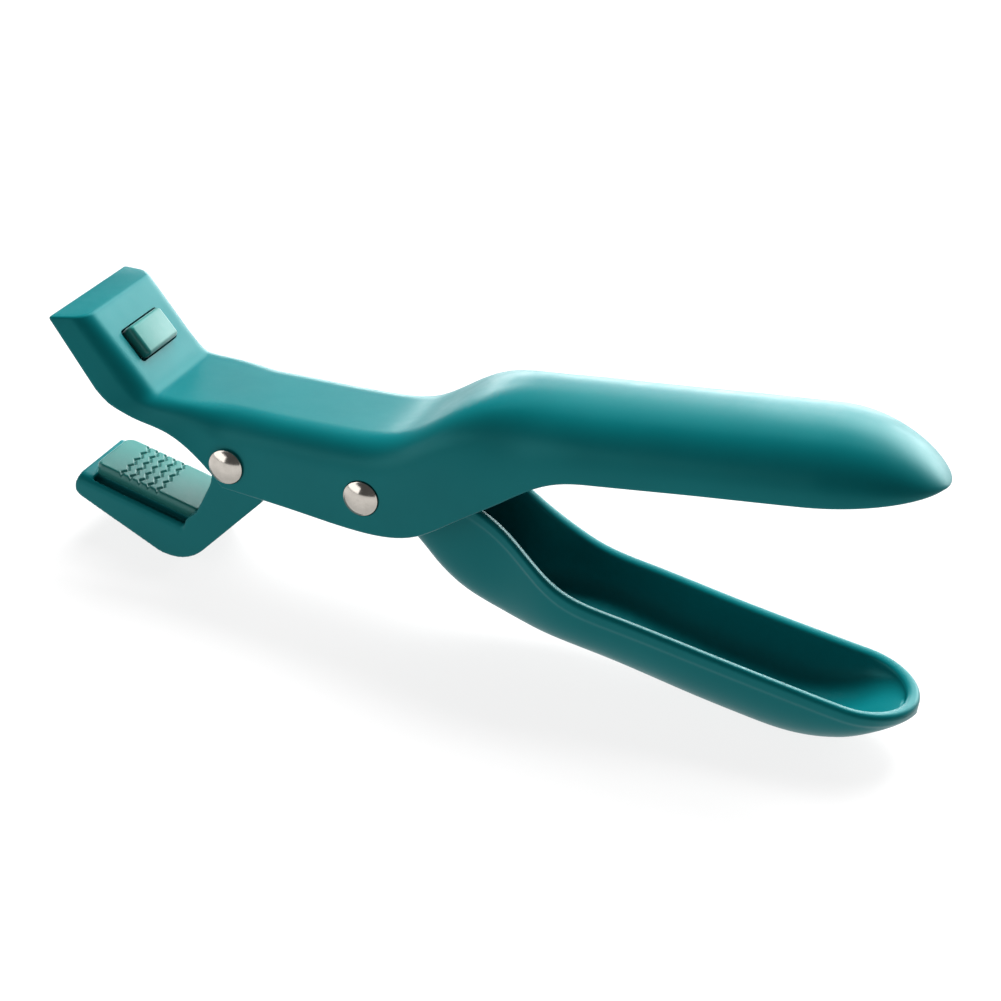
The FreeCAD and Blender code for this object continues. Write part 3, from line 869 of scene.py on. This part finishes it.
def pad(name, start, degrees, flip, length, thickness, corners):
    """Slab with softly rounded edges and a grooved gripping face on its outer side.

    flip is 1 or -1, for which way is outwards. corners are the radii of its free end's near and far
    corners and of the two at its other end.
    """
    half_length, half_width = length / 2, PAD_WIDTH / 2
    columns, rows = PAD_COLUMNS, PAD_ROWS

    def corner_at(s, y):
        return (corners[0] if y < 0 else corners[1]) if s < 0 else corners[2]

    def overhang(s, y):
        corner = corner_at(s, y)
        return abs(s) - (half_length - corner), abs(y) - (half_width - corner), corner

    def plan(c, r):
        """Place of a grid point on a rectangle with rounded corners."""
        s, y = (2 * c / columns - 1) * half_length, (2 * r / rows - 1) * half_width
        ds, dy, corner = overhang(s, y)
        if ds > 0 and dy > 0:
            scale = max(ds, dy) / math.hypot(ds, dy)
            s = math.copysign(half_length - corner + ds * scale, s)
            y = math.copysign(half_width - corner + dy * scale, y)
        return s, y

    def inside(s, y):
        """Distance in from the pad's outline."""
        ds, dy, corner = overhang(s, y)
        if ds > 0 and dy > 0:
            return corner - math.hypot(ds, dy)
        return min(half_length - abs(s), half_width - abs(y))

    def on_pad(s, y, h):
        x, z = along(start, degrees, half_length + s, flip * h)
        return (x, y, z)

    points, faces = [], []
    for r in range(rows + 1):
        for c in range(columns + 1):
            s, y = plan(c, r)
            h = thickness - rim_drop(inside(s, y), PAD_ROUND) - groove_depth(s, y)
            points.append(on_pad(s, y, h))
    for r in range(rows):
        for c in range(columns):
            a = r * (columns + 1) + c
            faces.append((a, a + 1, a + columns + 2, a + columns + 1))
    border = (
        list(range(columns))
        + [r * (columns + 1) + columns for r in range(rows)]
        + [rows * (columns + 1) + c for c in range(columns, 0, -1)]
        + [r * (columns + 1) for r in range(rows, 0, -1)]
    )
    previous = border
    for level in (0.6, 0.25, 0.0):
        ring = []
        for index in border:
            s, y = plan(index % (columns + 1), index // (columns + 1))
            tuck = 1 - 0.02 * (1 - level)
            ring.append(len(points))
            points.append(on_pad(s * tuck, y * tuck, (thickness - PAD_ROUND) * level))
        for k in range(len(border)):
            n = (k + 1) % len(border)
            faces.append((previous[k], previous[n], ring[n], ring[k]))
        previous = ring
    faces.append(tuple(previous))
    slab = make_object(name, points, faces)
    smooth(slab, 50)
    return slab


def block(name, outline, y_low, y_high, edge):
    """Block with rounded edges."""
    made = bevelled(prism(name, outline, y_low, y_high), edge, 5)
    smooth(made)
    return made


def lower_jaw_pad():
    start = along(SEAT_START, SEAT_DEG, 2.5)
    slab = pad(
        "lower_pad_ribbed", start, SEAT_DEG, 1, LOWER_PAD_LENGTH, LOWER_PAD_HEIGHT, (1.6, 2.8, 0.8)
    )
    stem = block("stem", slanted_box(SEAT_START, SEAT_DEG, 12.4, 19.6, -3.5, 0.5), -7.6, 7.6, 0.8)
    nub = block("nub", slanted_box(SEAT_START, SEAT_DEG, 11.9, 20.1, -4.9, -3.0), -8.0, 8.0, 0.8)
    return finished(joined(slab, stem, nub), SILICONE, "silicone_pad", "moving_jaw", "lower_jaw_pad")


def upper_jaw_pad():
    start = along(GRIP_START, GRIP_DEG, 16.0 - UPPER_PAD_LENGTH / 2)
    slab = pad(
        "upper_pad_ribbed", start, GRIP_DEG, -1, UPPER_PAD_LENGTH, UPPER_PAD_HEIGHT, (2.6, 2.6, 2.6)
    )
    stem = block("stem", slanted_box(GRIP_START, GRIP_DEG, 12.4, 19.6, -0.5, 9.0), -7.2, 7.0, 0.8)
    nub = block("nub", slanted_box(RIDGE, BACK_DEG, 7.5, 15.6, -1.2, 2.2), -7.6, 6.8, 1.1)
    return finished(joined(slab, stem, nub), SILICONE, "silicone_pad", "root", "upper_jaw_pad")


# ---- rivets and spring ---------------------------------------------------------------------------

TURNED_POINTS = 96
CROWN_STEPS = 40
EDGE_ROLL = 0.25               # the dome stops this far inside the head's edge
DIMPLE_RADIUS = 0.45
STUD_RADIUS = 1.4
COIL_STEPS = 260
COIL_START_DEG = -90.0
COIL_SWEEP_DEG = -1220.3
WIRE_POINTS = 14
WIRE_PITCH = 0.8               # step along the wire's straight ends


def turned(name, centre, profile, side):
    """Solid turned about a pivot's axis. The profile holds radius and distance out along the axis."""
    turns = [2 * math.pi * k / TURNED_POINTS for k in range(TURNED_POINTS)]
    rings = [
        [(centre[0] + r * math.cos(a), side * y, centre[1] + r * math.sin(a)) for a in turns]
        for r, y in profile
    ]
    return rings_object(name, rings)


def head_profile(dimple):
    """Low dome with a rolled edge and a small centre dimple."""
    height = HEAD_TOP - SHELL_HALF_WIDTH
    radius = (HEAD_RADIUS**2 + height**2) / (2 * height)
    crown = []
    for k in range(1, CROWN_STEPS + 1):
        r = (HEAD_RADIUS - EDGE_ROLL) * k / CROWN_STEPS
        y = HEAD_TOP - radius + math.sqrt(radius**2 - r**2)
        crown.append((r, y - dimple * math.exp(-((r / DIMPLE_RADIUS) ** 2))))
    crown = [(0.0, HEAD_TOP - dimple)] + crown
    edge_y = crown[-1][1]
    rolled = [(HEAD_RADIUS - 0.05, edge_y - 0.12), (HEAD_RADIUS, edge_y - 0.3)]
    return crown + rolled + [(HEAD_RADIUS, SEAT_Y)]


def rivet(name, centre, body_profile, side, dimple):
    made = turned(name, centre, head_profile(dimple) + body_profile, side)
    smooth(made, 40)
    return made


def rivets():
    tube = [
        (BARREL_RADIUS, SEAT_Y), (BARREL_RADIUS, -SEAT_Y), (STUD_RADIUS, -SEAT_Y), (STUD_RADIUS, 6.0),
        (0.0, 6.0),
    ]
    stud = [(STUD_RADIUS, SEAT_Y), (STUD_RADIUS, -3.6), (1.0, -4.0), (0.0, -4.0)]
    for place, centre, dimple in (("front", FRONT_PIVOT, 0.03), ("rear", REAR_PIVOT, 0.12)):
        tubular = rivet(f"{place}_rivet_tube", centre, tube, -1, dimple)
        finished(tubular, NICKEL, "nickel_rivet", "root", f"{place}_rivet")
        cap = rivet(f"{place}_rivet_stud", centre, stud, 1, dimple)
        finished(cap, NICKEL, "nickel_rivet", "root", f"{place}_rivet_cap")


def torsion_spring():
    """Close-wound coil that leaves on a tangent at each end."""
    roof_tip, floor_tip = (-9.5, 51.0), (-11.5, REAR_PIVOT[1] - COIL_RADIUS)
    near, far = COIL_LOW + SPRING_WIRE / 2, COIL_HIGH - SPRING_WIRE / 2
    path = [Vector((floor_tip[0], near, floor_tip[1]))]
    for k in range(COIL_STEPS + 1):
        x, z = along(REAR_PIVOT, COIL_START_DEG + COIL_SWEEP_DEG * k / COIL_STEPS, COIL_RADIUS)
        path.append(Vector((x, near + (far - near) * k / COIL_STEPS, z)))
    path.append(Vector((roof_tip[0], far, roof_tip[1])))
    dense = []
    for a, b in zip(path, path[1:]):
        count = max(1, round((b - a).length / WIRE_PITCH))
        dense += [a.lerp(b, k / count) for k in range(count)]
    dense.append(path[-1])
    turns = [2 * math.pi * n / WIRE_POINTS for n in range(WIRE_POINTS)]
    rings = []
    for k, point in enumerate(dense):
        forward = (dense[min(k + 1, len(dense) - 1)] - dense[max(k - 1, 0)]).normalized()
        side = forward.cross(Vector((0, 1, 0))).normalized()
        up = side.cross(forward)
        spokes = [side * math.cos(a) + up * math.sin(a) for a in turns]
        rings.append([tuple(point + spoke * SPRING_WIRE / 2) for spoke in spokes])
    wire = rings_object("torsion_spring_wire", rings, True, True)
    smooth(wire, 50)
    finished(wire, STEEL, "spring_steel", None, "torsion_spring")
    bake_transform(wire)


upper_body()
lower_handle()
lower_jaw()
lower_jaw_pad()
upper_jaw_pad()
rivets()
torsion_spring()

# ---- studio --------------------------------------------------------------------------------------

FLOOR_HALF = 6.0
FLOOR_GAP = 0.0002             # the floor lies just under the tool
FLOOR_GLOW = 0.84
WORLD_GLOW = 0.12
# Each light's bearing and elevation in degrees, distance, width and height in metres, and watts.
SOFTBOXES = {
    "back_softbox": (10, 31, 1.3, 1.2, 0.75, 13),
    "back_right_softbox": (27, 16, 1.3, 0.75, 0.42, 6),
    "horizon_left": (-15, 4, 1.3, 0.85, 0.22, 5),
    "horizon_right": (20, 3, 1.3, 0.9, 0.22, 1.4),
    "left_card": (232, 14, 1.2, 1.5, 0.55, 5.5),
}
OVERHEAD = (-8, 52, 1.2, 1.0, 0.8, 52)
CAMERA_PLACE = (0.1289, -0.42145, 0.2754)
CAMERA_RIGHT = (0.9303, 0.3469, 0.1192)
CAMERA_FORWARD = (-0.2513, 0.8394, -0.4821)
SENSOR_WIDTH = 36
LENS = 79.12


def floor():
    half = FLOOR_HALF
    mesh = bpy.data.meshes.new("studio_floor")
    corners = [(-half, -half, 0), (half, -half, 0), (half, half, 0), (-half, half, 0)]
    mesh.from_pydata(corners, [], [(0, 1, 2, 3)])
    obj = bpy.data.objects.new("studio_floor", mesh)
    bpy.context.scene.collection.objects.link(obj)
    obj.location.z = cad_low.z - FLOOR_GAP
    material, tree, place, shader = new_material("floor_white")
    mottle = spread(tree, noise(tree, place, 3, 2), 0, 1)
    colour = two_tone(tree, mottle, (0.14, 0.14, 0.14), (0.138, 0.138, 0.138))
    tree.links.new(colour, shader.inputs["Base Color"])
    shader.inputs["Roughness"].default_value = 0.9
    shader.inputs["Specular IOR Level"].default_value = 0.0
    shader.inputs["Emission Color"].default_value = (1, 1, 1, 1)
    shader.inputs["Emission Strength"].default_value = FLOOR_GLOW
    obj.data.materials.append(material)


def panel(name, bearing, elevation, distance, width, height, watts):
    """Soft light that faces the tool. Its bearing is in degrees from +Y towards +X."""
    data = bpy.data.lights.new(name, "AREA")
    data.shape = "RECTANGLE"
    data.size = width
    data.size_y = height
    data.energy = watts
    obj = bpy.data.objects.new(name, data)
    bpy.context.scene.collection.objects.link(obj)
    turn, lift = math.radians(bearing), math.radians(elevation)
    away = Vector((math.sin(turn) * math.cos(lift), math.cos(turn) * math.cos(lift), math.sin(lift)))
    middle = (cad_low + cad_high) / 2
    obj.location = middle + away * distance
    obj.rotation_euler = away.to_track_quat("Z", "Y").to_euler()
    return obj


def studio():
    floor()
    for name, setting in SOFTBOXES.items():
        panel(name, *setting)
    # The overhead light only fills, and the plastic's gloss doesn't show it.
    overhead = panel("overhead", *OVERHEAD)
    overhead.visible_glossy = False
    world = bpy.data.worlds.new("studio")
    world.use_nodes = True
    background = world.node_tree.nodes["Background"]
    background.inputs["Color"].default_value = (1, 1, 1, 1)
    background.inputs["Strength"].default_value = WORLD_GLOW
    bpy.context.scene.world = world
    bpy.context.scene.view_settings.view_transform = "Standard"


def camera():
    """Looks down on the near side, from a little towards the handles' ends, slightly rolled."""
    right = Vector(CAMERA_RIGHT).normalized()
    forward = Vector(CAMERA_FORWARD).normalized()
    up = right.cross(forward).normalized()
    turn = Matrix((right, up, -forward)).transposed()
    data = bpy.data.cameras.new("camera")
    data.sensor_width = SENSOR_WIDTH
    data.lens = LENS
    data.clip_start = 0.01
    data.clip_end = 20
    obj = bpy.data.objects.new("camera", data)
    obj.matrix_world = Matrix.Translation(CAMERA_PLACE) @ turn.to_4x4()
    bpy.context.scene.collection.objects.link(obj)
    bpy.context.scene.camera = obj


studio()
camera()
